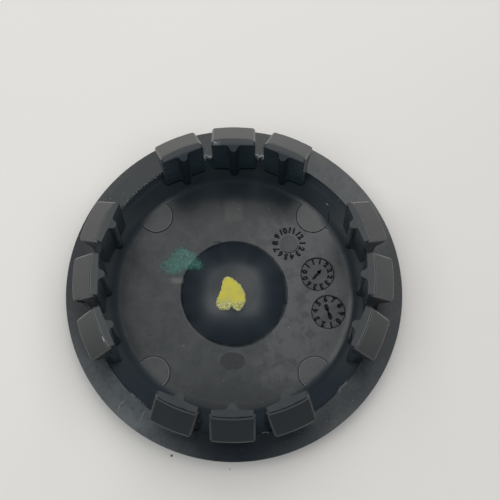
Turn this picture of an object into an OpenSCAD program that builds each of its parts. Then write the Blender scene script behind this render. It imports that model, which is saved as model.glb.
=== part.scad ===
// Snap-in wheel centre cap, moulded in one piece.
// It lies face down: the plain front face is on the XY plane, the axis is +Z,
// and the snap fingers point up. +Y is the direction of the first finger group.

/* [Face disc] */
// Diameter over the rim of the face
face_d = 60; // [54:0.5:76]
// Height of the rim, from the front face to the seat that meets the wheel
rim_h = 5.5; // [4.5:0.1:8]
// Thickness of the face in the middle of the dish
floor_t = 2.5; // [1.6:0.1:3.5]
// Radius of the rounding round the front edge
front_round = 3; // [1:0.1:3.6]
// Diameter of the flat part of the seat, where its outer crown starts
seat_flat_d = 55.6; // [54:0.2:57]
// Radius of the crown on the outer part of the seat
crown_r = 14; // [6:0.5:30]

/* [Dish] */
// Diameter of the flat floor of the dish
dish_floor_d = 42.3; // [40:0.1:43]
// Diameter of the sharp upper edge of the dish
dish_top_d = 51.3; // [51:0.1:53]
// Radius of the fillet between the floor and the slope
dish_fillet = 2; // [0.3:0.1:3]

/* [Centre dome] */
// Diameter of the dome where it rises from the floor
dome_d = 19.4; // [12:0.2:22]
// Height of the dome above the floor
dome_h = 3.4; // [1:0.1:4.5]
// Radius of the fillet at the foot of the dome
dome_foot = 0.6; // [0.2:0.1:1.5]

/* [Snap fingers] */
// Number of finger groups round the cap
groups = 4; // [2:1:4]
// Number of fingers in each group
group_fingers = 3; // [1:1:3]
// Angle from one finger to the next in a group
finger_pitch = 22.7; // [20:0.1:26]
// Width of a finger, with parallel sides
finger_w = 7.5; // [4:0.1:8]
// Height of the finger tips above the front face
finger_top = 20.2; // [18:0.1:24]
// Diameter over the outer faces of the finger stems
stem_d = 50.4; // [49:0.1:50.8]
// Distance across the flat inner faces of two opposite fingers, at their tips
inner_span = 44.4; // [43.6:0.1:45.4]
// Angle at which the inner faces lean outwards from the tip to the root
inner_lean = 3; // [0.5:0.1:4]

/* [Barbs] */
// Diameter over the barbs
barb_d = 54.4; // [53:0.1:55.4]
// Height of the upper edge of the barb above the front face
barb_top = 15.4; // [14:0.1:17]
// Width of the upright land along the edge of the barb
barb_land = 0.5; // [0.3:0.1:1]
// Height of the sloped catch face below the land
catch_h = 1.6; // [0.8:0.1:3]
// Radius of the rounded corners of the barb, seen from above
barb_corner = 0.6; // [0.3:0.1:1.5]
// Radius of the rounding along the upper edge of the barb
barb_edge = 0.7; // [0.1:0.05:0.9]

/* [Finger tips] */
// Diameter of the outer edge of the flat land on the finger tips
tip_land_d = 46.6; // [46:0.1:47.6]
// Radius of the rounding along that edge
tip_edge = 0.4; // [0.1:0.05:0.6]
// Height of the steep step from the land down to the lead-in face
tip_step = 0.75; // [0.4:0.05:1.2]
// Angle of the step from upright
step_lean = 20; // [5:1:30]
// Width of the bevels along both sides of the tip and of the lead-in face
side_bevel = 0.3; // [0.1:0.05:0.5]

/* [Finger ribs] */
// Width of the round nose of the rib on the inner face of a finger
rib_nose_w = 1.3; // [0.7:0.05:1.8]
// How far the rib stands out from the inner face
rib_h = 1.1; // [0.9:0.05:1.6]
// Radius of the fillets on both sides of the rib
rib_flank = 0.7; // [0.3:0.05:0.8]

// How far the end of the rib lies below the land on the tip
rib_end = 0.05; // [0.03:0.01:0.3]

/* [Ejector marks] */
// Diameter of the round marks that the ejector pins leave
pin_d = 5.8; // [3:0.1:6]
// Diameter of the circle that the marks stand on
pin_circle_d = 40.6; // [38:0.1:42]
// Height of the marks above the floor
pin_h = 0.12; // [0.05:0.01:0.3]

/* [Date dials] */
// Diameter of the two dials with an arrow
dial_d = 6; // [4.4:0.1:7]
// Diameter of the hub in the middle of a dial
dial_hub_d = 3.7; // [2:0.1:4]
// Depth of the ring round the hub
dial_depth = 0.15; // [0.05:0.01:0.4]
// Distance of the first dial from the axis
dial_1_r = 15.5; // [13.5:0.1:17]
// Angle of the first dial, anticlockwise from +X
dial_1_angle = 13.3; // [8:0.1:20]
// Distance of the second dial from the axis
dial_2_r = 17.3; // [14:0.1:17.5]
// Angle of the second dial, anticlockwise from +X
dial_2_angle = -11.3; // [-20:0.1:-9]
// Diameter of the round stud inside the ring of plain numbers
stud_d = 3.3; // [2:0.1:4]
// Height of the stud above the floor
stud_h = 0.15; // [0.05:0.01:0.4]
// Distance of the stud from the axis
stud_r = 13.6; // [12.5:0.1:17]
// Angle of the stud, anticlockwise from +X
stud_angle = 43; // [35:0.1:60]

/* [Hidden] */
$fn = 96;

// A hair more than any face that a cut has to clear
eps = 0.5;

// How far the rounded corners of a barb stand out past its land before they are cut to it, so that the two
// cross at a clear edge
corner_out = 0.006;

// Angle on each side of a finger that its turned section covers, a little more than the finger's own
finger_half_angle = 12;

face_r = face_d/2;
seat_r = seat_flat_d/2;
dish_r = dish_top_d/2;
floor_r = dish_floor_d/2;
dome_r = dome_d/2;

stem_r = stem_d/2;
inner_x = inner_span/2;
barb_r = barb_d/2;
land_r = tip_land_d/2;
catch_top = barb_top - barb_land;

// Corner where the land and the step would meet without their rounding, and the foot of the step
tip_corner = [land_r + tip_edge*tan(45 - step_lean/2), finger_top];
step_foot = tip_corner + tip_step*[tan(step_lean), -1];

// Angle at which the lead-in face falls from the foot of the step to the barb
lead_in_fall = atan2(step_foot.y - barb_top, barb_r - step_foot.x);

// Angle of the dish's slope above the floor
slope_angle = atan2(rim_h - floor_t, dish_r - floor_r);

// Radius and centre height of the ball that the dome is cut from
dome_ball = (dome_r*dome_r + dome_h*dome_h)/(2*dome_h);
dome_centre = floor_t + dome_h - dome_ball;

// Centre of the foot fillet, which touches both the ball and the floor
foot_reach = dome_ball + dome_foot;
foot_z = floor_t + dome_foot;
foot_x = sqrt(foot_reach*foot_reach - (foot_z - dome_centre)*(foot_z - dome_centre));

function unit(v) = v/norm(v);

// Distance from a corner to where a rounding of radius r starts, for edges along u and v
function rounding_run(u, v, r) = r/tan(acos(u*v)/2);

// Centre of that rounding
function rounding_centre(corner, u, v, r) = corner + unit(u + v)*r/sin(acos(u*v)/2);

// Angle of finger k of group g, counted anticlockwise from +X
function finger_angle(g, k) = g*360/groups + (k - (group_fingers - 1)/2)*finger_pitch;

module face_outline() {
    // Half section of the disc, with its rounded front edge and its crowned seat
    difference() {
        square([face_r, rim_h]);
        difference() {
            translate([face_r - front_round, -eps]) square([front_round + eps, front_round + eps]);
            translate([face_r - front_round, front_round]) circle(front_round);
        }
        difference() {
            translate([seat_r, rim_h - crown_r]) square([crown_r, crown_r + eps]);
            translate([seat_r, rim_h - crown_r]) circle(crown_r);
        }
        dish_outline();
    }
}

module dish_outline() {
    // Half section of the hollow: a flat floor, a fillet and a straight slope up to the seat
    run = dish_fillet*tan(slope_angle/2);
    polygon([
        [0, floor_t],
        [floor_r - run, floor_t],
        [floor_r + run*cos(slope_angle), floor_t + run*sin(slope_angle)],
        [dish_r, rim_h],
        [dish_r, rim_h + eps],
        [0, rim_h + eps]
    ]);
    translate([floor_r - run, floor_t + dish_fillet]) circle(dish_fillet);
}

module face_disc() {
    rotate_extrude() face_outline();
}

module centre_dome() {
    // Cap of a ball that rises from the floor, with a fillet at its foot
    touch = [0, dome_centre] + dome_ball*unit([foot_x, foot_z - dome_centre]);
    rotate_extrude() {
        intersection() {
            translate([0, dome_centre]) circle(dome_ball);
            translate([0, touch.y]) square([dome_r, dome_h + eps]);
        }
        difference() {
            polygon([[0, floor_t - eps], [foot_x, floor_t - eps], [foot_x, floor_t], touch, [0, touch.y]]);
            translate([foot_x, foot_z]) circle(dome_foot);
        }
    }
}

module finger_outline() {
    // Section of one finger, from the tip land over the step, the lead-in face and the barb to the stem
    barb = [barb_r, barb_top];
    down = [0, -1];
    up_step = unit(tip_corner - step_foot);
    up_lead_in = unit(step_foot - barb);
    tip_run = rounding_run([-1, 0], -up_step, tip_edge);
    barb_run = rounding_run(up_lead_in, down, barb_edge);
    polygon([
        [inner_x - eps, floor_t - eps],
        [inner_x - eps, finger_top],
        tip_corner - [tip_run, 0],
        tip_corner - up_step*tip_run,
        step_foot,
        barb + up_lead_in*barb_run,
        barb + down*barb_run,
        [barb_r, catch_top],
        [stem_r, catch_top - catch_h],
        [stem_r, floor_t - eps]
    ]);
    translate(rounding_centre(tip_corner, [-1, 0], -up_step, tip_edge)) circle(tip_edge);
    translate(rounding_centre(barb, up_lead_in, down, barb_edge)) circle(barb_edge);
}

module finger_plan() {
    // Outline of a finger from above, with parallel sides and corners that run into the barb
    w = finger_w/2;
    side_y = w - barb_corner;
    reach = barb_r - barb_corner + corner_out;
    corner_x = sqrt(reach*reach - side_y*side_y);
    fan = side_y/corner_x;
    fan_x = barb_r + eps;
    start_x = inner_x - eps;
    translate([start_x, -w]) square([corner_x - start_x, finger_w]);
    polygon([[start_x, -start_x*fan], [fan_x, -fan_x*fan], [fan_x, fan_x*fan], [start_x, start_x*fan]]);
    for (side = [-1, 1])
        translate([corner_x, side*side_y]) circle(barb_corner);
}

module on_inner_face() {
    // Sets a shape on the leaning inner face of a finger, with the face at x = 0 and the tip at z = 0
    translate([inner_x, 0, finger_top]) rotate([0, -inner_lean, 0]) children();
}

module rib_plan() {
    // Round nose with a fillet on each side
    nose_x = rib_nose_w/2 - rib_h;
    reach = rib_nose_w/2 + rib_flank;
    translate([nose_x, 0]) circle(d = rib_nose_w);
    translate([nose_x, -rib_nose_w/2]) square([eps - nose_x, rib_nose_w]);
    difference() {
        translate([-rib_flank, -reach]) square([rib_flank + eps, 2*reach]);
        for (side = [-1, 1])
            translate([-rib_flank, side*reach]) circle(rib_flank);
    }
}

module finger_rib() {
    // Rib along the inner face. Its end lies a little below the land on the tip.
    length = finger_top - floor_t + eps;
    on_inner_face() translate([0, 0, -rib_end - length]) linear_extrude(length) rib_plan();
}

module bevelled_bar(start, fall, drop) {
    // Long bar with bevelled upper edges, which runs outwards from a point and falls at an angle. Its bevels
    // lie as far below the point as the face curves down at the sides of the finger.
    w = finger_w/2;
    top = drop - eps;
    shoulder = w - side_bevel - eps;
    side = w + eps;
    side_top = drop + side_bevel + eps;
    translate([start.x, 0, start.y]) rotate([0, 90 + fall, 0])
        linear_extrude(2*finger_top, center = true) polygon([
            [top, -shoulder],
            [top, shoulder],
            [side_top, side],
            [finger_top, side],
            [finger_top, -side],
            [side_top, -side]
        ]);
}

module finger() {
    // The lead-in face is part of a cone, so its sides lie lower than its middle
    cone_drop = barb_r - sqrt(barb_r*barb_r - finger_w*finger_w/4);
    intersection() {
        rotate([0, 0, -finger_half_angle]) rotate_extrude(angle = 2*finger_half_angle) finger_outline();
        linear_extrude(finger_top + eps) finger_plan();
        on_inner_face() translate([0, -finger_w, -2*finger_top]) cube([finger_top, 2*finger_w, 3*finger_top]);
        bevelled_bar([land_r, finger_top], 0, 0);
        bevelled_bar(step_foot, lead_in_fall, cone_drop*sin(lead_in_fall));
    }
    finger_rib();
}

module finger_ring() {
    for (g = [0:groups - 1], k = [0:group_fingers - 1])
        rotate([0, 0, finger_angle(g, k)]) finger();
}

module at_polar(r, angle, z) {
    rotate([0, 0, angle]) translate([r, 0, z]) children();
}

module ejector_marks() {
    // Low round pads on the diagonals, which run out under the slope
    for (k = [0:3])
        at_polar(pin_circle_d/2, 45 + 90*k, floor_t - eps) cylinder(h = eps + pin_h, d = pin_d);
}

module number_stud() {
    at_polar(stud_r, stud_angle, floor_t - eps) cylinder(h = eps + stud_h, d = stud_d);
}

module dial_ring() {
    // Sunk ring that leaves the hub standing at the height of the floor
    difference() {
        cylinder(h = dial_depth + eps, d = dial_d);
        translate([0, 0, -eps]) cylinder(h = dial_depth + 3*eps, d = dial_hub_d);
    }
}

module centre_cap() {
    color([0.16, 0.165, 0.17]) difference() {
        union() {
            face_disc();
            centre_dome();
            finger_ring();
            ejector_marks();
            number_stud();
        }
        at_polar(dial_1_r, dial_1_angle, floor_t - dial_depth) dial_ring();
        at_polar(dial_2_r, dial_2_angle, floor_t - dial_depth) dial_ring();
    }
}

centre_cap();
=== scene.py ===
"""Looks of a moulded wheel centre cap that lies face down on a pale table."""
import math
import random

import bmesh
import bpy
from mathutils import Matrix, Vector, noise


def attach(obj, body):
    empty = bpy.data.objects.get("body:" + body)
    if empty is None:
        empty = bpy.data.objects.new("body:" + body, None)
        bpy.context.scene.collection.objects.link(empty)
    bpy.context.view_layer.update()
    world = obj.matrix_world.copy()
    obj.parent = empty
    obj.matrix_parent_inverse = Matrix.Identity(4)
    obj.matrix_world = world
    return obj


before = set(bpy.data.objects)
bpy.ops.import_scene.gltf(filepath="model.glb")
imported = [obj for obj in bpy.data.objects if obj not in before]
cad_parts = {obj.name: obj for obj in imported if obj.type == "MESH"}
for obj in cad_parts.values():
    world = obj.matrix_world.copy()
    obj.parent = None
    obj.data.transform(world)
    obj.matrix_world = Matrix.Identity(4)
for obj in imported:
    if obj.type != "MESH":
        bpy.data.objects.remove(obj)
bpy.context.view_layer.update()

MM = 0.001

# Sizes of the cap that the looks follow, in millimetres, as in the part's source
FLOOR_Z = 2.5
SEAT_Z = 5.5
FLOOR_R = 21.15
DISH_R = 25.65
CROWN_START = 27.8
CROWN_R = 14.0
DOME_R = 9.7
DOME_H = 3.4
DOME_FOOT = 0.6
DIAL_Z = 2.35
DIAL_R = 3.0
STUD_R = 1.65
STUD_TOP = 2.65
PIN_R = 2.9
PIN_PLACE = 14.354
PIN_H = 0.12
BARB_TOP = 15.4
TIP_Z = 20.2
TIP_LAND_R = 23.3
FINGER_W = 7.5
FINGER_PITCH = 22.7
RIDGED_FINGERS = 9
DIAL_1 = (15.09, 3.57)
DIAL_2 = (16.96, -3.39)
STUD = (9.95, 9.28)
PAD = (-0.3, -12.3)
PAD_HALF_W = 2.35
PAD_HALF_H = 1.65

# Inner radius of the zones on the fingers, which is less than that of any finger's face
ZONE_R = 18.0

# How deep raised lines and paint reach into what carries them
SUNK = 0.05
DAB_SUNK = 0.04


# Node trees: a socket that can be added, multiplied and compared like a number

class Value:
    """A socket of a node tree with the arithmetic operators of a number."""

    def __init__(self, nodes, socket):
        self.nodes = nodes
        self.socket = socket

    def math(self, operation, *others):
        return self.nodes.node("ShaderNodeMath", {"operation": operation}, self, *others)

    def __add__(self, other):
        return self.math("ADD", other)

    def __radd__(self, other):
        return self.nodes.wrap(other).math("ADD", self)

    def __sub__(self, other):
        return self.math("SUBTRACT", other)

    def __rsub__(self, other):
        return self.nodes.wrap(other).math("SUBTRACT", self)

    def __mul__(self, other):
        return self.math("MULTIPLY", other)

    def __rmul__(self, other):
        return self.nodes.wrap(other).math("MULTIPLY", self)

    def __truediv__(self, other):
        return self.math("DIVIDE", other)

    def __rtruediv__(self, other):
        return self.nodes.wrap(other).math("DIVIDE", self)

    def __pow__(self, other):
        return self.math("POWER", other)

    def __gt__(self, other):
        return self.math("GREATER_THAN", other)

    def __lt__(self, other):
        return self.math("LESS_THAN", other)

    def __abs__(self):
        return self.math("ABSOLUTE")

    def ramp(self, low, high):
        """0 below low, 1 above high, and a smooth step between; low may be above high."""
        return self.nodes.node("ShaderNodeMapRange", {"interpolation_type": "SMOOTHSTEP"},
                               self, low, high, 0.0, 1.0)

    def band(self, low, high, soft):
        """1 between low and high, and 0 outside, with soft edges."""
        return self.ramp(low - soft, low + soft)*self.ramp(high + soft, high - soft)


class Nodes:
    """A node tree with one short call for every node."""

    def __init__(self, tree):
        self.tree = tree

    def wrap(self, number):
        if isinstance(number, Value):
            return number
        holder = self.tree.nodes.new("ShaderNodeValue")
        holder.outputs[0].default_value = number
        return Value(self, holder.outputs[0])

    def feed(self, socket, value):
        if isinstance(value, Value):
            self.tree.links.new(value.socket, socket)
        elif value is not None:
            socket.default_value = value

    def node(self, kind, settings=None, *values, out=0, **named):
        """Adds a node: its settings first, then the values or links of its sockets."""
        made = self.tree.nodes.new(kind)
        for key, setting in (settings or {}).items():
            setattr(made, key, setting)
        sockets = [socket for socket in made.inputs if socket.enabled]
        for socket, value in zip(sockets, values):
            self.feed(socket, value)
        for key, value in named.items():
            label = key.replace("_", " ")
            self.feed(next(socket for socket in sockets if socket.name == label), value)
        return Value(self, [socket for socket in made.outputs if socket.enabled][out])


class Shader(Nodes):
    """One node material."""

    def __init__(self, name):
        self.material = bpy.data.materials.new(name)
        self.material.use_nodes = True
        self.principled = self.material.node_tree.nodes["Principled BSDF"]
        super().__init__(self.material.node_tree)
        self.surface = Value(self, self.principled.outputs[0])

    def place(self):
        """Object coordinates in millimetres."""
        where = self.node("ShaderNodeTexCoord", None, out=3)
        return self.node("ShaderNodeVectorMath", {"operation": "SCALE"}, where, Scale=1/MM)

    def split(self, vector):
        made = self.tree.nodes.new("ShaderNodeSeparateXYZ")
        self.tree.links.new(vector.socket, made.inputs[0])
        return [Value(self, socket) for socket in made.outputs]

    def noise(self, where, scale, detail=3.0, roughness=0.5, distortion=0.0):
        return self.node("ShaderNodeTexNoise", {"noise_dimensions": "3D"}, Vector=where, Scale=scale,
                         Detail=detail, Roughness=roughness, Distortion=distortion)

    def mix(self, factor, first, second):
        """Blend of two colours."""
        made = self.tree.nodes.new("ShaderNodeMix")
        made.data_type = "RGBA"
        colour_inputs = [socket for socket in made.inputs if socket.type == "RGBA"]
        self.feed(made.inputs[0], factor)
        self.feed(colour_inputs[0], first)
        self.feed(colour_inputs[1], second)
        return Value(self, next(socket for socket in made.outputs if socket.type == "RGBA"))

    def bump(self, height, distance, strength):
        return self.node("ShaderNodeBump", None, Strength=strength, Distance=distance, Height=height)

    def cover(self, factor, colour):
        """Lays a matt colour over the finish where the factor says so."""
        matt = self.node("ShaderNodeBsdfDiffuse", None, Color=colour)
        self.surface = self.node("ShaderNodeMixShader", None, factor, self.surface, matt)
        self.feed(self.tree.nodes["Material Output"].inputs["Surface"], self.surface)

    def finish(self, **sockets):
        for key, value in sockets.items():
            self.feed(self.principled.inputs[key.replace("_", " ")], value)
        return self.material


# Finishes

PLASTIC_DARK = (0.0082, 0.0116, 0.0148, 1)
PLASTIC_LIGHT = (0.0100, 0.0136, 0.0168, 1)
# The navy and matt colours are painted shade. The slope, inside and under colours are painted light, and the
# hazy, scuffed and rubbed colours are haze, scuffs and rubbing that also carry painted light.
PLASTIC_SHADE_NAVY = (0.0100, 0.0150, 0.0220, 1)
PLASTIC_SLOPE_LIT = (0.0190, 0.0250, 0.0320, 1)
PLASTIC_INSIDE_LIT = (0.0370, 0.0510, 0.0610, 1)
PLASTIC_COOL_LIT = (0.0600, 0.0840, 0.0990, 1)
PLASTIC_MATT_SHADE = (0.0270, 0.0355, 0.0440, 1)
PLASTIC_HAZE_AND_LIGHT = (0.0560, 0.0580, 0.0600, 1)
PLASTIC_SCUFFED_AND_LIT = (0.0420, 0.0460, 0.0480, 1)
PLASTIC_RUBBED_AND_LIT = (0.0590, 0.0590, 0.0580, 1)
PLASTIC_PALE = (0.1500, 0.1500, 0.1350, 1)
YELLOW_PALE = (0.47, 0.43, 0.115, 1)
YELLOW_WARM = (0.60, 0.51, 0.050, 1)
CRUST_DARK = (0.34, 0.30, 0.035, 1)
CRUST_PALE = (0.66, 0.66, 0.40, 1)
GREEN_DEEP = (0.022, 0.085, 0.072, 1)
GREEN = (0.048, 0.145, 0.115, 1)
GREEN_PALE = (0.20, 0.34, 0.29, 1)
DUST_DARK = (0.11, 0.115, 0.115, 1)
DUST_PALE = (0.42, 0.43, 0.42, 1)
TABLE_PALE = (0.905, 0.845, 0.795, 1)
TABLE_SHADED = (0.825, 0.760, 0.715, 1)
TABLE_DIRT = (0.035, 0.032, 0.030, 1)


class Zones:
    """Masks that are 1 inside a zone of the moulding and 0 outside it, with places in millimetres on the
    cap, and the noises that the zones share."""

    def __init__(self, shader):
        place = shader.place()
        x, y, z = shader.split(place)
        across = (x*x + y*y)**0.5
        in_dish = z < SEAT_Z - 0.8
        stems = z.band(SEAT_Z - 0.7, BARB_TOP - 0.4, 0.3)*across.band(ZONE_R, TIP_LAND_R + 1.1, 0.3)
        barbs = z.band(BARB_TOP - 0.1, TIP_Z - 0.3, 0.3)*across.band(ZONE_R, TIP_LAND_R + 0.1, 0.1)
        lit_side = x.ramp(14, 18)*y.ramp(2, -2)*y.ramp(-15, -11)*(z < FLOOR_Z + 1.0)
        self.x = x
        self.y = y
        self.across = across
        self.grain = shader.noise(place, 9.0, 2.0)
        self.cloud = shader.noise(place, 0.35, 3.0)
        self.smear = shader.noise(place, 0.8, 4.0, 0.6, 1.5)
        self.mottle = shader.noise(place, 0.45, 6.0, 0.66, 0.15)
        self.fleck = shader.noise(place, 5.0, 2.0)
        self.floor = z < FLOOR_Z + 0.3
        self.slope = z.band(FLOOR_Z + 0.35, SEAT_Z - 0.15, 0.1)*(across < DISH_R)
        self.dish_edge = across.band(FLOOR_R - 1.3, FLOOR_R + 1.3, 0.7)*in_dish
        self.fillet = across.band(FLOOR_R - 0.3, FLOOR_R + 1.3, 0.5)*in_dish
        self.lit_edge = across.band(20.1, 21.5, 0.3)*lit_side
        self.seat = (z > SEAT_Z - 1.2)*(z < SEAT_Z + 0.2)*(across > DISH_R)
        self.between = stems + barbs
        self.lead_in = z.band(BARB_TOP, TIP_Z - 0.5, 0.3)*(across > TIP_LAND_R + 0.15)
        self.land = z > TIP_Z - 0.05
        self.open_to_light = y.ramp(12, 16.5)*abs(x).ramp(17, 12)*-1.0 + 1.0

    def away_from(self, place, near, far):
        """0 up to the near distance from a place, and 1 beyond the far one."""
        distance = ((self.x - place[0])**2 + (self.y - place[1])**2)**0.5
        return distance.ramp(near, far)


def dish_colour(shader, on, base):
    """Patchy haze on the floor, with painted light that grows to the right, but not on the dials and the
    stud, and a slope made paler with painted light where it is open to the light.
    """
    x = on.x
    y = on.y
    clear = on.away_from(DIAL_1, 2.8, 3.1)*on.away_from(DIAL_2, 2.8, 3.1)*on.away_from(STUD, 1.4, 1.7)
    # Painted light: the haze grows towards the right, where the floor is lit most, and is left out low on
    # the floor and in the shade under the upper fingers; its patches are the haze itself.
    lit_to_right = x.ramp(0, 11)*0.65 + x.ramp(14, 17.5)*0.9 + 0.28
    patches = on.mottle.ramp(0.32, 0.68)*1.5 + 0.25
    haze = lit_to_right*y.ramp(-21, -13)*on.open_to_light*patches*(clear*0.7 + 0.3)
    hazy_and_lit = shader.mix(on.floor*haze, base, PLASTIC_HAZE_AND_LIGHT)
    # Painted light: the slope is paler where it is open to the light, and stays dark in the shade under the
    # upper fingers.
    return shader.mix(on.slope*on.open_to_light*(y - x).ramp(36, 22), hazy_and_lit, PLASTIC_SLOPE_LIT)


def between_colour(shader, on, base):
    """Smooth faces between and inside the fingers, made paler with painted light, palest in the upper group.
    """
    inside = shader.mix(on.between, base, PLASTIC_INSIDE_LIT)
    return shader.mix(on.between*on.y.ramp(12, 17), inside, PLASTIC_COOL_LIT)


def mark_colour(shader, on, base):
    """Rubbed ejector marks, side slopes paler with painted light, and pale marks at the gate and a smudge,
    and painted light on a lit edge.
    """
    x = on.x
    y = on.y
    from_pin = ((abs(x) - PIN_PLACE)**2 + (abs(y) - PIN_PLACE)**2)**0.5
    pins = from_pin.ramp(PIN_R + 0.05, PIN_R - 0.1)*((x > 0)*(y > 0)*0.2 + 0.55)
    gate = x.band(-1.8, 1.5, 0.5)*y.band(13.6, 18.6, 0.5)*(on.fleck*0.6 + 0.4)
    smudge = x.band(-11.6, -9.2, 0.6)*y.band(1.9, 2.9, 0.35)*(on.smear*0.5 + 0.25)
    # Painted light: the slopes at the left and right sides are paler, most on the right.
    lit_side_slope = on.slope*y.band(-13, 14, 4)*(abs(x).ramp(10, 20)*0.45 + x.ramp(10, 20)*0.45)
    marked_and_lit = shader.mix(on.floor*pins + lit_side_slope, base, PLASTIC_RUBBED_AND_LIT)
    return shader.mix(on.floor*(gate*0.3 + smudge) + on.lit_edge*0.2, marked_and_lit, PLASTIC_PALE)


def seat_colour(shader, on, base):
    """Scuffs and streaks on the seat, a cooler patch at its lower left, and flecks along its left rim, with
    painted light in the scuffs, the patch and the paler upper right and lower left quarters.
    """
    x = on.x
    y = on.y
    # Scuffs and streaks at the sides of the seat, kept off its upper left so that it stays darker there,
    # which is partly painted light.
    worn = abs(x).ramp(8, 22)*((y - x).ramp(24, 36)*-0.8 + 1.0)
    # Painted light, patchy like scuffs: the upper right and lower left quarters of the seat are paler.
    corners = (x*y).ramp(130, 380)*(on.mottle.ramp(0.35, 0.65)*0.7 + 0.25)
    # Partly painted light: a cooler, paler patch at the lower left, smeared.
    lower_left = (x + y).ramp(-32, -40)*on.smear.ramp(0.3, 0.6)
    slots = y.ramp(22, 23.5)*abs(x).ramp(8, 7)*on.grain.ramp(0.45, 0.6)
    streak = on.smear.ramp(0.54, 0.72)*on.fleck.ramp(0.45, 0.65)*worn + slots
    rim = on.across.ramp(28.3, 29.3)*x.ramp(-14, -22)*on.fleck.ramp(0.45, 0.6)
    scuffed_and_lit = shader.mix(on.seat*(on.smear.ramp(0.4, 0.72)*worn*0.5 + corners), base, PLASTIC_SCUFFED_AND_LIT)
    cooled_and_lit = shader.mix(on.seat*lower_left*0.45, scuffed_and_lit, PLASTIC_COOL_LIT)
    return shader.mix(on.seat*(streak*0.6 + rim*0.6), cooled_and_lit, PLASTIC_RUBBED_AND_LIT)


def tip_colour(shader, on, base):
    """Lead-in faces made paler with painted light, except in the lower group, and tip lands that are paler
    on the left and at a mark in the upper group.
    """
    x = on.x
    y = on.y
    # Painted light on the lead-in faces, left off the lower group.
    lit_lead_in = on.lead_in*y.ramp(-16, -6)*(x.ramp(0, 20)*-0.15 + 0.9)*(on.cloud*0.5 + 0.75)
    touched = on.land*x.band(-3.5, -2.3, 0.25)*y.band(22.1, 22.9, 0.25)*on.fleck.ramp(0.35, 0.6)*0.6
    lead_ins_lit = shader.mix(lit_lead_in, base, PLASTIC_RUBBED_AND_LIT)
    return shader.mix(touched + on.land*x.ramp(-16, -22)*0.13, lead_ins_lit, PLASTIC_PALE)


def moulding_finish():
    """Dark moulded plastic: grained on its level faces, smoother on the seat and between the fingers, and
    covered with matt painted shade at the dish's edge, under the upper fingers, low and at the sides of the
    seat, and on the lower lead-ins."""
    shader = Shader("moulded_plastic")
    on = Zones(shader)
    x = on.x
    y = on.y
    colour = shader.mix(on.cloud.ramp(0.3, 0.7), PLASTIC_DARK, PLASTIC_LIGHT)
    for lay in (dish_colour, between_colour, mark_colour, seat_colour, tip_colour):
        colour = lay(shader, on, colour)
    shadow_under_top = y.ramp(16.4, 18.6)*abs(x).ramp(16, 11)*on.across.ramp(FLOOR_R + 1.7, FLOOR_R + 0.7)
    low_seat_shade = y.ramp(-23, -26.5)*(abs(x).ramp(9, 2)*0.25 + 0.35)
    side_seat_shade = (y*-0.2 + abs(x)).ramp(22, 27)*0.35
    # Painted shade: matt colour for the shadow under the upper fingers, and over the rest of the dish's
    # fillet, less at its lit edge.
    shader.cover(shadow_under_top*0.85 + on.fillet*y.ramp(16, 12)*(on.lit_edge*-0.75 + 0.75), PLASTIC_MATT_SHADE)
    # Painted shade: matt navy low on the seat behind the lower fingers, at the sides of the seat and on the
    # lower lead-in faces.
    shader.cover(on.seat*(low_seat_shade + side_seat_shade) + on.lead_in*y.ramp(-16, -21)*0.25, PLASTIC_SHADE_NAVY)
    rough = on.cloud.ramp(0.3, 0.7)*0.05 + on.dish_edge*on.open_to_light*x.ramp(16, 8)*0.25
    smooth = (on.floor + on.between).ramp(0.0, 1.0)*0.08 + on.seat*0.12
    level = (on.floor + on.seat + on.land).ramp(0.0, 1.0)
    return shader.finish(
        Base_Color=colour,
        Roughness=rough - smooth + 0.28,
        Specular_IOR_Level=0.45,
        Normal=shader.bump(on.grain*(level*0.85 + 0.15), 0.03*MM, 0.5),
    )


def shaded_plastic(name, colour, roughness, gloss):
    """The same plastic on small raised marks, in copies that are darker than the flat round them as painted
    shade and paler as painted highlights, and one near the flat's own tone.
    """
    shader = Shader(name)
    place = shader.place()
    cloud = shader.noise(place, 1.5, 2.0)
    darker = tuple(part*0.8 for part in colour[:3]) + (1,)
    return shader.finish(
        Base_Color=shader.mix(cloud.ramp(0.3, 0.7), darker, colour),
        Roughness=cloud*0.1 + roughness,
        Specular_IOR_Level=gloss,
        Normal=shader.bump(shader.noise(place, 12.0, 2.0), 0.02*MM, 0.4),
    )


def yellow_paint_finish():
    """Thick yellow marking paint with a pale, bubbly crust along its lower edge."""
    shader = Shader("yellow_paint")
    place = shader.place()
    crust = shader.node("ShaderNodeAttribute", {"attribute_name": "crust"}, out=2)
    patch = shader.noise(place, 0.55, 2.0)
    speck = shader.noise(place, 5.0, 3.0)
    body = shader.mix(patch.ramp(0.35, 0.65), YELLOW_PALE, YELLOW_WARM)
    edge = shader.mix(speck.ramp(0.46, 0.58), CRUST_DARK, CRUST_PALE)
    return shader.finish(
        Base_Color=shader.mix(crust.ramp(0.15, 0.6), body, edge),
        Roughness=speck*0.2 + 0.4,
        Specular_IOR_Level=0.35,
        Normal=shader.bump(speck, 0.06*MM, 0.5),
    )


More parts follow.
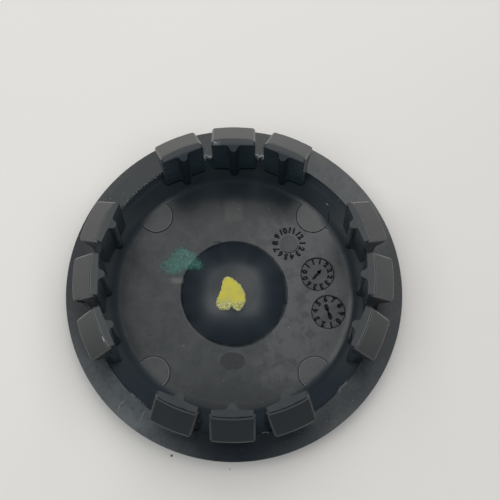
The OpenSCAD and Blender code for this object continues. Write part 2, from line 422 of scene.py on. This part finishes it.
def green_paint_finish():
    """Thin green marking paint, dry at the edges, with pale dabs and bare plastic between them."""
    shader = Shader("green_paint")
    place = shader.place()
    rim = shader.node("ShaderNodeAttribute", {"attribute_name": "rim"}, out=2)
    pale_side = shader.node("ShaderNodeAttribute", {"attribute_name": "crust"}, out=2)
    dab = shader.noise(place, 1.1, 4.0, 0.65, 1.0)
    streak = shader.noise(place, 2.6, 3.0, 0.6, 0.8)
    cover = shader.mix(dab.ramp(0.35, 0.65), GREEN_DEEP, GREEN)
    pale = shader.mix((streak + pale_side*0.1).ramp(0.56, 0.85), cover, GREEN_PALE)
    holes = shader.noise(place, 3.6, 2.0).ramp(0.58, 0.64)*rim.ramp(0.25, 0.9)
    bare = (streak*0.8 + rim*0.75).ramp(0.94, 1.06) + holes
    return shader.finish(
        Base_Color=pale,
        Roughness=dab*0.15 + 0.38,
        Alpha=bare.ramp(1.0, 0.0),
        Specular_IOR_Level=0.4,
        Normal=shader.bump(streak, 0.06*MM, 0.6),
    )


def dust_finish():
    shader = Shader("dust")
    shade = shader.noise(shader.place(), 0.9, 1.0)
    return shader.finish(
        Base_Color=shader.mix(shade.ramp(0.4, 0.6), DUST_DARK, DUST_PALE),
        Roughness=shade*0.2 + 0.6,
    )


def table_finish():
    """Pale painted table, a little darker towards the lower right as painted shade, with two dark crumbs by
    the cap.
    """
    shader = Shader("pale_table")
    place = shader.place()
    x, y = shader.split(place)[:2]
    cloud = shader.noise(place, 0.02, 2.0)
    shaded = shader.mix((x - y).ramp(-70, 60)*0.9 + cloud*0.1, TABLE_PALE, TABLE_SHADED)
    crumb = ((x + 11.05)**2 + (y + 28.75)**2)**0.5
    speck = ((x + 0.7)**2 + (y + 31.1)**2)**0.5
    dirt = crumb.ramp(0.28, 0.18)*0.9 + speck.ramp(0.18, 0.1)*0.6
    return shader.finish(
        Base_Color=shader.mix(dirt, shaded, TABLE_DIRT),
        Roughness=cloud*0.1 + 0.5,
    )


# Pieces: points in millimetres, which ride with the cap

DOME_BALL = (DOME_R**2 + DOME_H**2)/(2*DOME_H)
DOME_CENTRE = FLOOR_Z + DOME_H - DOME_BALL
FOOT_Z = FLOOR_Z + DOME_FOOT
FOOT_R = math.sqrt((DOME_BALL + DOME_FOOT)**2 - (FOOT_Z - DOME_CENTRE)**2)
TOUCH_R = FOOT_R*DOME_BALL/(DOME_BALL + DOME_FOOT)


def back_height(x, y):
    """Height of the dished back at a place: dome, foot fillet, floor, slope and seat."""
    across = math.hypot(x, y)
    if across < TOUCH_R:
        return DOME_CENTRE + math.sqrt(DOME_BALL**2 - across**2)
    if across < FOOT_R:
        return FOOT_Z - math.sqrt(DOME_FOOT**2 - (FOOT_R - across)**2)
    if across > CROWN_START:
        return SEAT_Z - (across - CROWN_START)**2/(2*CROWN_R)
    climb = (across - FLOOR_R)/(DISH_R - FLOOR_R)*(SEAT_Z - FLOOR_Z)
    return min(SEAT_Z, FLOOR_Z + max(0.0, climb))


def finish_piece(name, mesh, material, smooth=True):
    """Makes a piece of a mesh in metres, with its faces turned outwards."""
    work = bmesh.new()
    work.from_mesh(mesh)
    bmesh.ops.recalc_face_normals(work, faces=work.faces)
    work.to_mesh(mesh)
    work.free()
    mesh.polygons.foreach_set("use_smooth", [smooth]*len(mesh.polygons))
    mesh.materials.clear()
    mesh.materials.append(material)
    piece = bpy.data.objects.new(name, mesh)
    bpy.context.scene.collection.objects.link(piece)
    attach(piece, "root")
    return piece


class Shape:
    """Points and faces of one piece, collected part by part."""

    def __init__(self):
        self.points = []
        self.faces = []

    def add(self, points, faces):
        first = len(self.points)
        self.points += points
        self.faces += [[first + i for i in face] for face in faces]

    def sweep(self, path, section, closed=False, sizes=None):
        """Carries a section of (side, up) points along a path, upright all the way."""
        rows = len(path)
        count = len(section)
        points = []
        for i, place in enumerate(path):
            before = path[i - 1] if i or closed else place
            after = path[(i + 1) % rows] if i < rows - 1 or closed else place
            along = Vector((after[0] - before[0], after[1] - before[1], 0)).normalized()
            size = sizes[i] if sizes else 1
            for side, up in section:
                x = place[0] + along.y*side*size
                y = place[1] - along.x*side*size
                points.append((x, y, place[2] + up*size))
        faces = []
        for i in range(rows if closed else rows - 1):
            for j in range(count):
                near = i*count
                far = (i + 1) % rows*count
                faces.append((near + j, near + (j + 1) % count, far + (j + 1) % count, far + j))
        if not closed:
            faces.append(range(count))
            faces.append(range((rows - 1)*count, rows*count))
        self.add(points, faces)

    def plate(self, outline, base, height, bevel):
        """A low plate with bevelled upper edges on an outline of (x, y) points."""
        count = len(outline)
        middle = Vector((sum(x for x, y in outline)/count, sum(y for x, y in outline)/count))
        rings = []
        for inset, z in ((0, base - SUNK), (0, base + height - bevel), (bevel, base + height)):
            for point in outline:
                arm = Vector(point) - middle
                place = middle + arm*(1 - inset/arm.length)
                rings.append((place.x, place.y, z))
        faces = []
        for low, high in ((0, count), (count, 2*count)):
            for i in range(count):
                j = (i + 1) % count
                faces.append((low + i, low + j, high + j, high + i))
        faces += [range(count), range(2*count, 3*count)]
        self.add(rings, faces)

    def piece(self, name, material, smooth=True):
        mesh = bpy.data.meshes.new(name)
        mesh.from_pydata([[part*MM for part in point] for point in self.points], [], self.faces)
        return finish_piece(name, mesh, material, smooth)


def low_round(width, height):
    """Section of a low rounded line that is sunk a little into what carries it."""
    half = width/2
    crown = [(-half*0.6, height*0.8), (0, height), (half*0.6, height*0.8)]
    return [(-half, -SUNK), (-half, 0)] + crown + [(half, 0), (half, -SUNK)]


def arc_path(centre, radius, start, end, base=None, steps=96):
    """Points of an arc on the dished back, or at a level of its own."""
    path = []
    for i in range(steps + 1):
        angle = math.radians(start + (end - start)*i/steps)
        x = centre[0] + radius*math.cos(angle)
        y = centre[1] + radius*math.sin(angle)
        path.append((x, y, back_height(x, y) if base is None else base))
    return path


# Plain numbers on the dials

NUMBER_STROKE = 0.085
number_meshes = {}


def number_mesh(text, height):
    """Mesh of a plain number in millimetres with rounded strokes, made once for every text and height."""
    if (text, height) not in number_meshes:
        curve = bpy.data.curves.new("number", "FONT")
        curve.body = text
        curve.size = height*1.38
        curve.align_x = "CENTER"
        curve.align_y = "CENTER"
        curve.space_character = 1.1
        curve.resolution_u = 4
        curve.extrude = 0.02
        curve.bevel_depth = NUMBER_STROKE
        curve.bevel_resolution = 2
        holder = bpy.data.objects.new("number", curve)
        bpy.context.scene.collection.objects.link(holder)
        shaped = holder.evaluated_get(bpy.context.evaluated_depsgraph_get())
        number_meshes[text, height] = bpy.data.meshes.new_from_object(shaped)
        bpy.data.objects.remove(holder)
    return number_meshes[text, height]


def add_numbers(name, centre, radius, height, base, places, material):
    """Raised numbers round a centre, with their tops outwards; places are (text, angle) pairs."""
    shape = Shape()
    for text, angle in places:
        mesh = number_mesh(text, height)
        xs = [vertex.co.x for vertex in mesh.vertices]
        ys = [vertex.co.y for vertex in mesh.vertices]
        settle = Matrix.Translation((-(min(xs) + max(xs))/2, -(min(ys) + max(ys))/2, 0))
        turn = Matrix.Rotation(math.radians(angle - 90), 4, "Z")
        out = Vector((math.cos(math.radians(angle)), math.sin(math.radians(angle)), 0))*radius
        place = Matrix.Translation(Vector((centre[0], centre[1], base + 0.02)) + out) @ turn @ settle
        points = [tuple(place @ vertex.co) for vertex in mesh.vertices]
        shape.add(points, [list(face.vertices) for face in mesh.polygons])
    return shape.piece(name, material)


def capsule(start, end, width, steps=8):
    """Outline of a bar with round ends between two places."""
    start = Vector(start)
    end = Vector(end)
    heading = math.atan2(end.y - start.y, end.x - start.x)
    outline = []
    for place, turn in ((end, -90), (start, 90)):
        for i in range(steps + 1):
            angle = heading + math.radians(turn + 180*i/steps)
            outline.append((place.x + width/2*math.cos(angle), place.y + width/2*math.sin(angle)))
    return outline


def add_dials(dark, light):
    """Plain numbers, arrows and thin outlines on the two dials and round the stud, dark as painted shade,
    with paler arcs on one side as painted highlights. Angles are in degrees.
    """
    dial_1 = [(digit, 168 - 30*k) for k, digit in enumerate("011122233360")]
    dial_2 = [(digit, 102 - 36*k) for k, digit in enumerate("6789012345")]
    ring_angles = (2, -23, -49, -77, -103, -129, -155, 178, 148, 112, 77, 36)
    ring = [(str(k + 1), angle) for k, angle in enumerate(ring_angles)]
    add_numbers("dial_1_numbers", DIAL_1, 2.36, 0.92, DIAL_Z, dial_1, dark)
    add_numbers("dial_2_numbers", DIAL_2, 2.38, 0.92, DIAL_Z, dial_2, dark)
    add_numbers("ring_numbers", STUD, 2.50, 1.02, FLOOR_Z, ring, dark)
    height = 0.08
    bevel = 0.05
    arrows = Shape()
    for centre, tilt, length, waist in ((DIAL_1, 48, 2.3, False), (DIAL_2, -70, 2.4, True)):
        along = Vector((math.cos(math.radians(tilt)), math.sin(math.radians(tilt))))
        middle = Vector(centre)
        side = Vector((-along.y, along.x))
        if waist:
            for reach in (-0.36, 0.34):
                near = middle + along*length*(reach - 0.12)
                far = middle + along*length*(reach + 0.12)
                arrows.plate(capsule(near, far, 0.72), FLOOR_Z, height, bevel)
            arrows.plate(capsule(middle - along*0.5, middle + along*0.5, 0.36), FLOOR_Z, height, bevel)
        else:
            tail = middle - along*length*0.45
            arrows.plate(capsule(tail, middle + along*length*0.25, 0.5), FLOOR_Z, height, bevel)
            tip = middle + along*length*0.54
            neck = middle + along*length*0.12
            arrows.plate([tip, neck + side*0.42, neck - side*0.42], FLOOR_Z, height, bevel)
    arrows.piece("dial_arrows", dark, smooth=False)
    outlines = Shape()
    edges = Shape()
    for centre in (DIAL_1, DIAL_2):
        outlines.sweep(arc_path(centre, DIAL_R, 0, 360, FLOOR_Z)[:-1], low_round(0.16, 0.05), closed=True)
        edges.sweep(arc_path(centre, DIAL_R + 0.17, -20, 150, FLOOR_Z), low_round(0.14, 0.04))
    outlines.sweep(arc_path(STUD, STUD_R, -125, -10, FLOOR_Z), low_round(0.24, 0.13))
    edges.sweep(arc_path(STUD, STUD_R - 0.1, 150, 330, STUD_TOP - 0.03), low_round(0.12, 0.05))
    outlines.piece("dial_outlines", dark)
    edges.piece("dial_edges", light)


def add_pin_lines(dark, light):
    """Thin flash round the four ejector marks, drawn dark as painted shade, as far as the slope and on one
    of them a little up it, with a paler line inside it that is a painted highlight."""
    outlines = Shape()
    edges = Shape()
    for quarter in range(4):
        heading = 45 + 90*quarter
        centre = [PIN_PLACE*(1 if quarter in (0, 3) else -1), PIN_PLACE*(1 if quarter < 2 else -1)]
        last = 284 if quarter else 328
        outline = arc_path(centre, PIN_R + 0.07, heading + 76, heading + last)
        edge = arc_path(centre, PIN_R - 0.09, heading + 80, heading + 280, FLOOR_Z + PIN_H)
        outlines.sweep(outline, low_round(0.14, 0.06))
        edges.sweep(edge, low_round(0.12, 0.03))
    outlines.piece("pin_outlines", dark)
    edges.piece("pin_edges", light)


def add_bare_pad(dark, light):
    """Plain oval pad on the floor below the dome, with a pale edge line that is a painted highlight."""
    steps = 72
    oval = []
    for i in range(steps):
        angle = math.tau*i/steps
        oval.append((PAD[0] + PAD_HALF_W*math.cos(angle), PAD[1] + PAD_HALF_H*math.sin(angle)))
    pad = Shape()
    pad.plate(oval, FLOOR_Z, 0.05, 0.04)
    pad.piece("oval_pad", dark, smooth=False)
    edge = Shape()
    edge.sweep([(x, y, FLOOR_Z) for x, y in oval], low_round(0.13, 0.07), closed=True)
    edge.piece("oval_pad_edge", light)


def add_burrs(bright, dull):
    """Torn flash along the dish's upper edge, bright in the slots between fingers and dull in the wide gaps,
    its paleness partly painted highlight. Each stretch has its middle and its width in degrees, and its
    size."""
    burrs = Shape()
    worn = Shape()
    chance = random.Random(4)
    in_slots = [(101.4, 4.8, 3.2), (79.4, 4.4, 3.0), (191, 3.6, 1), (168.5, 3.2, 1), (11, 2.6, 1)]
    in_gaps = [(133.5, 24, 1.1), (229, 9, 0.9), (318, 7, 1.3)]
    tooth = [(-0.12, -0.06), (-0.02, 0.16), (0.1, 0.08), (0.16, -0.06)]
    for middle, width, size in in_slots + in_gaps:
        steps = int(width*3)
        path = []
        sizes = []
        for i in range(steps + 1):
            angle = math.radians(middle + width*(i/steps - 0.5))
            reach = DISH_R - 0.12 + chance.uniform(-0.14, 0.08)*size
            path.append((reach*math.cos(angle), reach*math.sin(angle), back_height(reach, 0)))
            sizes.append(chance.choice((0.25, 0.6, 1.0, 1.4))*size*min(1, 0.2 + 4*min(i, steps - i)/steps))
        shape = worn if (middle, width, size) in in_gaps else burrs
        shape.sweep(path, tooth, sizes=sizes)
    burrs.piece("torn_flash", bright, smooth=False)
    # Paler flash in the wide gaps, partly painted highlight.
    worn.piece("gap_flash_and_highlight", dull, smooth=False)


# Paint dabs

def smooth_loop(corners, steps):
    """Rounded closed outline through the corners."""
    count = len(corners)
    loop = []
    for i in range(steps):
        whole, part = divmod(i*count/steps, 1)
        last, here, ahead, next_one = [Vector(corners[(int(whole) + k) % count]) for k in (-1, 0, 1, 2)]
        bend = 2*last - 5*here + 4*ahead - next_one
        twist = 3*here - last - 3*ahead + next_one
        loop.append(0.5*(2*here + (ahead - last)*part + bend*part**2 + twist*part**3))
    return loop


def add_dab(name, corners, centre, thickness, ragged, crust, material, rows=36, steps=200):
    """A dab of paint that lies on the dished back. Its thickness and crust are functions of the place and of
    how near the edge it is, from 0 in the middle to 1."""
    centre = Vector(centre)
    loop = smooth_loop(corners, steps)
    edge = [point + (point - centre).normalized()*ragged*noise.noise(Vector((point.x*2.3, point.y*2.3, 5.0)))
            for point in loop]
    shape = Shape()
    marks = []
    for layer in (1, 0):
        lift = thickness(centre, 0) if layer else -DAB_SUNK
        shape.points.append((centre.x, centre.y, back_height(*centre) + lift))
        marks.append((0.0, crust(centre, 0)))
        for row in range(1, rows + 1):
            near = (row/rows)**0.8
            for rim in edge:
                place = centre.lerp(rim, near)
                lift = thickness(place, near) if layer else -DAB_SUNK
                shape.points.append((place.x, place.y, back_height(*place) + lift))
                marks.append((near, crust(place, near)))
    half = len(shape.points)//2
    for start in (0, half):
        for i in range(steps):
            shape.faces.append((start, start + 1 + i, start + 1 + (i + 1) % steps))
            for row in range(rows - 1):
                ring = start + 1 + row*steps
                outer = ring + steps
                shape.faces.append((ring + i, outer + i, outer + (i + 1) % steps, ring + (i + 1) % steps))
    last = 1 + (rows - 1)*steps
    for i in range(steps):
        j = (i + 1) % steps
        shape.faces.append((last + i, half + last + i, half + last + j, last + j))
    piece = shape.piece(name, material)
    for label, values in zip(("rim", "crust"), zip(*marks)):
        piece.data.attributes.new(label, "FLOAT", "POINT").data.foreach_set("value", values)
    return piece


def round_off(near):
    """Fall of a dab's thickness to nothing at its edge."""
    return math.sqrt(max(0.0, 1 - near**8))


def add_yellow_paint(material):
    corners = [(-1.61, 2.39), (-0.75, 2.39), (0.23, 1.79), (1.21, 0.87), (1.77, -0.08), (2.11, -1.31),
               (1.95, -2.30), (1.47, -3.16), (0.74, -3.72), (0.02, -3.42), (-0.48, -2.98), (-0.84, -3.47),
               (-1.76, -3.59), (-2.61, -3.34), (-3.17, -2.73), (-3.17, -1.94), (-2.88, -0.95), (-2.38, 0.0),
               (-2.21, 1.05), (-1.97, 1.87)]

    def crust(place, near):
        wave = 0.55*noise.noise(Vector((place.x*1.1, place.y*1.1, 8.0)))
        low = min(1.0, max(0.0, (-1.6 + wave - place.y)/0.5))
        side = 0.7*min(1.0, max(0.0, (near - 0.89)/0.05))
        return max(low*min(1.0, max(0.0, (near - 0.45 + wave*0.4)/0.25)), side)

    def thickness(place, near):
        bubble = noise.noise(Vector((place.x*3.6, place.y*3.6, 1.0)))
        swell = noise.noise(Vector((place.x*0.7, place.y*0.7, 3.0)))
        return round_off(near)*(0.2 + 0.05*swell + crust(place, near)*(0.05 + 0.16*abs(bubble))) - 0.02

    add_dab("yellow_paint", corners, (-0.7, -0.9), thickness, 0.16, crust, material)


def add_green_paint(material):
    corners = [(-12.0, 7.6), (-11.2, 8.5), (-9.9, 9.1), (-8.6, 8.8), (-7.4, 8.5), (-6.6, 7.6), (-6.1, 6.6),
               (-5.3, 5.8), (-4.9, 4.8), (-5.4, 3.5), (-6.5, 4.0), (-7.7, 3.9), (-9.1, 3.9), (-10.3, 3.2),
               (-11.8, 3.0), (-13.1, 3.2), (-14.2, 4.2), (-14.0, 5.6), (-12.8, 6.5)]

    def crust(place, near):
        return min(1.0, max(0.0, (place.x + place.y + 4.0)/3.5))

    def thickness(place, near):
        return round_off(near)*(0.035 + 0.02*noise.noise(Vector((place.x*1.6, place.y*1.6, 2.0)))) - 0.01

    add_dab("green_paint", corners, (-9.4, 6.0), thickness, 0.65, crust, material, rows=44, steps=320)


# Geometry Nodes: things that repeat

class Growth(Nodes):
    """A Geometry Nodes tree with named number inputs, which ends in one material."""

    def __init__(self, name, **sizes):
        super().__init__(bpy.data.node_groups.new(name, "GeometryNodeTree"))
        self.sizes = sizes
        face = self.tree.interface
        face.new_socket("Geometry", in_out="INPUT", socket_type="NodeSocketGeometry")
        for key in sizes:
            face.new_socket(key, in_out="INPUT", socket_type="NodeSocketFloat")
        face.new_socket("Geometry", in_out="OUTPUT", socket_type="NodeSocketGeometry")
        entry = self.tree.nodes.new("NodeGroupInput")
        self.inputs = {socket.name: Value(self, socket) for socket in entry.outputs if socket.name}

    def grow(self, name, start, instances, material):
        """Runs the tree on a mesh of starting points and turns the result into a plain piece."""
        real = self.node("GeometryNodeRealizeInstances", None, instances)
        painted = self.node("GeometryNodeSetMaterial", None, real, Material=material)
        exit_node = self.tree.nodes.new("NodeGroupOutput")
        self.feed(exit_node.inputs[0], painted)
        holder = bpy.data.objects.new(name, start)
        bpy.context.scene.collection.objects.link(holder)
        modifier = holder.modifiers.new("growth", "NODES")
        modifier.node_group = self.tree
        for item in self.tree.interface.items_tree:
            if item.in_out == "INPUT" and item.name in self.sizes:
                modifier[item.identifier] = float(self.sizes[item.name])
        mesh = bpy.data.meshes.new_from_object(holder.evaluated_get(bpy.context.evaluated_depsgraph_get()))
        holder.modifiers.clear()
        bpy.data.objects.remove(holder)
        return finish_piece(name, mesh, material)


def add_parting_ridges(material):
    """Fine ridge where two halves of the mould met, along the outer edge of each tip in three of the four
    groups, pale as a painted highlight."""
    half_length = FINGER_W/2 - 0.4
    half_angle = math.asin(half_length/TIP_LAND_R)
    growth = Growth("parting_ridges", Reach=(TIP_LAND_R + 0.12)*MM, Half_angle=half_angle,
                    Level=(TIP_Z - 0.12)*MM, Thickness=0.13*MM, Pitch=math.radians(FINGER_PITCH))
    size = growth.inputs
    index = growth.node("GeometryNodeInputIndex")
    group = (index/3.0).math("FLOOR")
    turn = group*(math.pi/2) + (index - group*3.0 - 1.0)*size["Pitch"]
    by_radius = {"mode": "RADIUS"}
    from_angle = size["Half_angle"]*-1.0
    by_angle = size["Half_angle"]*2.0
    arc = growth.node("GeometryNodeCurveArc", by_radius, Resolution=24, Radius=size["Reach"],
                      Start_Angle=from_angle, Sweep_Angle=by_angle)
    bead = growth.node("GeometryNodeCurvePrimitiveCircle", by_radius, Resolution=8, Radius=size["Thickness"])
    ridge = growth.node("GeometryNodeCurveToMesh", None, arc, bead, Fill_Caps=True)
    level = growth.node("ShaderNodeCombineXYZ", None, 0.0, 0.0, size["Level"])
    raised = growth.node("GeometryNodeTransform", None, ridge, Translation=level)
    points = growth.node("GeometryNodeMeshToPoints", None, size["Geometry"])
    heading = growth.node("ShaderNodeCombineXYZ", None, 0.0, 0.0, turn)
    copies = growth.node("GeometryNodeInstanceOnPoints", None, points, Instance=raised, Rotation=heading)
    start = bpy.data.meshes.new("finger_places")
    start.from_pydata([(0, 0, 0)]*RIDGED_FINGERS, [], [])
    growth.grow("parting_ridges", start, copies, material)


def add_dust(material):
    """Grains of dust on the floor and the seat and one on a finger, some of them where the photograph shows
    them."""
    chance = random.Random(11)
    seen = [(16.87, 16.41), (19.02, 16.80), (19.68, 12.04), (10.28, 22.97), (19.35, 12.5), (17.3, 16.1),
            (-17.8, -19.6), (8.9, 8.3), (11.2, 8.2), (13.9, 8.7), (-0.30, 16.99), (-8.4, -15.2),
            (11.8, -15.5)]
    on_a_finger = (9.57, 20.58, 10.7)
    grains = 110
    nearest = 11.0
    farthest = 28.5
    stems_from = 21.6
    stems_to = 25.2
    places = [(x, y, back_height(x, y)) for x, y in seen]
    while len(places) < grains:
        reach = math.sqrt(chance.uniform(nearest**2, farthest**2))
        angle = chance.uniform(0, math.tau)
        if stems_from < reach < stems_to:
            continue
        x = reach*math.cos(angle)
        y = reach*math.sin(angle)
        places.append((x, y, back_height(x, y)))
    places.append(on_a_finger)
    start = bpy.data.meshes.new("dust_places")
    start.from_pydata([[part*MM for part in place] for place in places], [], [])
    growth = Growth("dust_grains", Smallest=0.025*MM, Largest=0.075*MM)
    size = growth.inputs
    grain = growth.node("GeometryNodeMeshIcoSphere", None, Radius=1.0, Subdivisions=1)
    in_floats = {"data_type": "FLOAT"}
    spread = growth.node("FunctionNodeRandomValue", in_floats, size["Smallest"], size["Largest"], Seed=3)
    shape = growth.node("ShaderNodeCombineXYZ", None, spread*1.4, spread, spread*0.6)
    turn = growth.node("FunctionNodeRandomValue", in_floats, 0.0, math.tau, Seed=5)
    spin = growth.node("ShaderNodeCombineXYZ", None, 0.0, 0.0, turn)
    points = growth.node("GeometryNodeMeshToPoints", None, size["Geometry"])
    copies = growth.node("GeometryNodeInstanceOnPoints", None, points, Instance=grain, Rotation=spin,
                         Scale=shape)
    growth.grow("dust_grains", start, copies, material)


def add_lint(pale, dark, scratched):
    """A few short pale fibres and dark hairs, a curl of flash down the side of one finger, pale marks on two
    tips, and scratches on the seat."""
    fibres = Shape()
    hairs = Shape()
    scratches = Shape()
    pale_paths = (
        [(4.9, -25.1), (5.3, -24.95), (5.8, -24.95), (6.1, -25.15)],
        [(15.2, 13.6), (15.6, 13.1), (15.8, 12.5)],
        [(16.6, 11.9), (17.1, 11.7), (17.3, 11.3)],
        [(16.75, 16.5), (17.0, 16.25), (17.15, 16.1)],
    )
    dark_paths = (
        [(-4.0, 9.35), (-3.6, 9.55), (-3.1, 9.5), (-2.6, 9.7)],
        [(-15.4, -7.65), (-15.1, -7.55), (-14.8, -7.62)],
        [(1.4, -29.5), (1.62, -29.4), (1.85, -29.55)],
    )
    scratch_paths = (
        [(-20.1, -21.6), (-20.0, -20.9), (-19.8, -20.2), (-19.1, -19.5)],
        [(-18.1, -23.0), (-17.9, -21.2)],
        [(-16.4, -23.5), (-16.1, -22.6), (-15.7, -21.7), (-14.9, -20.8)],
    )
    dark_curl = [(-26.3, -3.80, 16.9), (-25.9, -3.84, 15.6), (-25.6, -3.80, 16.2), (-25.3, -3.85, 13.8),
                 (-25.5, -3.80, 12.6), (-25.1, -3.84, 11.2)]
    pale_curl = [(-25.2, -3.82, 12.8), (-25.1, -3.86, 10.6), (-25.0, -3.82, 8.4)]
    left_z = TIP_Z - 0.05
    top_z = TIP_Z - 0.02
    left_tip = [(-21.15, -10.42, left_z), (-20.97, -10.82, left_z), (-20.78, -11.25, left_z)]
    top_tip = [(-3.3, 22.88, top_z), (-2.85, 22.55, top_z)]
    for shape, width, height, lift, paths in (
            (fibres, 0.09, 0.06, 0.01, pale_paths),
            (hairs, 0.10, 0.06, 0.01, dark_paths),
            (scratches, 0.14, 0.03, 0.0, scratch_paths)):
        for path in paths:
            shape.sweep([(x, y, back_height(x, y) + lift) for x, y in path], low_round(width, height))
    hairs.sweep(dark_curl, low_round(0.16, 0.16))
    fibres.sweep(pale_curl, low_round(0.14, 0.14))
    fibres.sweep(left_tip, low_round(0.16, 0.08))
    fibres.sweep(top_tip, low_round(0.13, 0.05))
    scratches.piece("seat_scratches", scratched)
    fibres.piece("lint", pale)
    hairs.piece("dark_hairs", dark)


# Camera at the photograph's viewing angle

CAMERA_PLACE = (2.837, -34.806, 183.257 + SEAT_Z)
CAMERA_TILT = 12.966
CAMERA_LENS = 75.26
SENSOR_WIDTH = 36


def add_camera():
    camera = bpy.data.cameras.new("camera")
    camera.lens = CAMERA_LENS
    camera.sensor_width = SENSOR_WIDTH
    camera.clip_start = 0.01
    holder = bpy.data.objects.new("camera", camera)
    holder.location = [part*MM for part in CAMERA_PLACE]
    holder.rotation_euler = (math.radians(CAMERA_TILT), 0, 0)
    bpy.context.scene.collection.objects.link(holder)
    bpy.context.scene.camera = holder


# Table and soft light

LAMP_NEUTRAL = (1.0, 0.985, 0.96)
LAMP_WARM = (1.0, 0.91, 0.86)
ROOM_BLUE = (0.62, 0.86, 1.0, 1)
ROOM_STRENGTH = 0.25


def add_table():
    half = 3.0
    corners = [(-half, -half, 0), (half, -half, 0), (half, half, 0), (-half, half, 0)]
    mesh = bpy.data.meshes.new("table")
    mesh.from_pydata(corners, [], [(0, 1, 2, 3)])
    table = bpy.data.objects.new("table", mesh)
    table.data.materials.append(table_finish())
    bpy.context.scene.collection.objects.link(table)


def add_softbox(name, sides, ends, brightness, colour):
    """A level lamp 1 m above the table. Its sides and ends are given in degrees from straight overhead, to
    the right and up the picture, and its brightness is the radiance of its face."""
    left, right = [math.tan(math.radians(angle)) for angle in sides]
    low, high = [math.tan(math.radians(angle)) for angle in ends]
    lamp = bpy.data.lights.new(name, "AREA")
    lamp.shape = "RECTANGLE"
    lamp.size = right - left
    lamp.size_y = high - low
    lamp.energy = brightness*math.pi*lamp.size*lamp.size_y
    lamp.color = colour
    holder = bpy.data.objects.new(name, lamp)
    holder.location = ((left + right)/2, (low + high)/2, 1)
    bpy.context.scene.collection.objects.link(holder)


def add_light():
    """Five lamps round a dark opening near the camera, a small warm lamp, and a dim bluish room."""
    add_softbox("softbox_top_left", (-40, 1), (6.5, 47), 1.3, LAMP_NEUTRAL)
    add_softbox("softbox_top_right", (1, 36), (6.5, 47), 2.1, LAMP_NEUTRAL)
    add_softbox("softbox_left", (-40, -9), (-24, 6), 2.4, LAMP_NEUTRAL)
    add_softbox("softbox_right", (9, 36), (-24, 4), 2.0, LAMP_NEUTRAL)
    add_softbox("softbox_low", (-11, 9), (-26, -17), 0.9, LAMP_NEUTRAL)
    add_softbox("softbox_warm", (2, 10), (6, 15), 0.8, LAMP_WARM)
    world = bpy.data.worlds.new("studio")
    bpy.context.scene.world = world
    world.use_nodes = True
    background = world.node_tree.nodes["Background"]
    background.inputs["Color"].default_value = ROOM_BLUE
    background.inputs["Strength"].default_value = ROOM_STRENGTH


add_camera()
add_table()
add_light()
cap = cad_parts["centre_cap"]
cap.data.materials.clear()
cap.data.materials.append(moulding_finish())

# Painted shade on the dials and round the ejector marks, and the colour of the dark hairs
shade_and_hair_mark = shaded_plastic("mark_in_shade", (0.006, 0.008, 0.010, 1), roughness=0.45, gloss=0.12)
pad_mark = shaded_plastic("pad_plastic", (0.011, 0.014, 0.017, 1), roughness=0.22, gloss=0.38)
# Painted highlights on edges and ridges, partly also the colour of scratches, lint and torn flash
highlight_mark = shaded_plastic("mark_in_light", (0.085, 0.09, 0.092, 1), roughness=0.35, gloss=0.45)
ridge_highlight_mark = shaded_plastic("ridge_plastic", (0.090, 0.094, 0.094, 1), roughness=0.25, gloss=0.6)
worn_and_highlight_mark = shaded_plastic("worn_plastic", (0.20, 0.205, 0.20, 1), roughness=0.45, gloss=0.4)
torn_and_highlight_mark = shaded_plastic("torn_plastic", (0.48, 0.485, 0.475, 1), roughness=0.5, gloss=0.4)

add_dials(shade_and_hair_mark, highlight_mark)
add_pin_lines(shade_and_hair_mark, worn_and_highlight_mark)
add_bare_pad(pad_mark, highlight_mark)
add_burrs(torn_and_highlight_mark, worn_and_highlight_mark)
add_yellow_paint(yellow_paint_finish())
add_green_paint(green_paint_finish())
add_parting_ridges(ridge_highlight_mark)
add_dust(dust_finish())
add_lint(torn_and_highlight_mark, shade_and_hair_mark, worn_and_highlight_mark)

scene = bpy.context.scene
scene.view_settings.view_transform = "Standard"
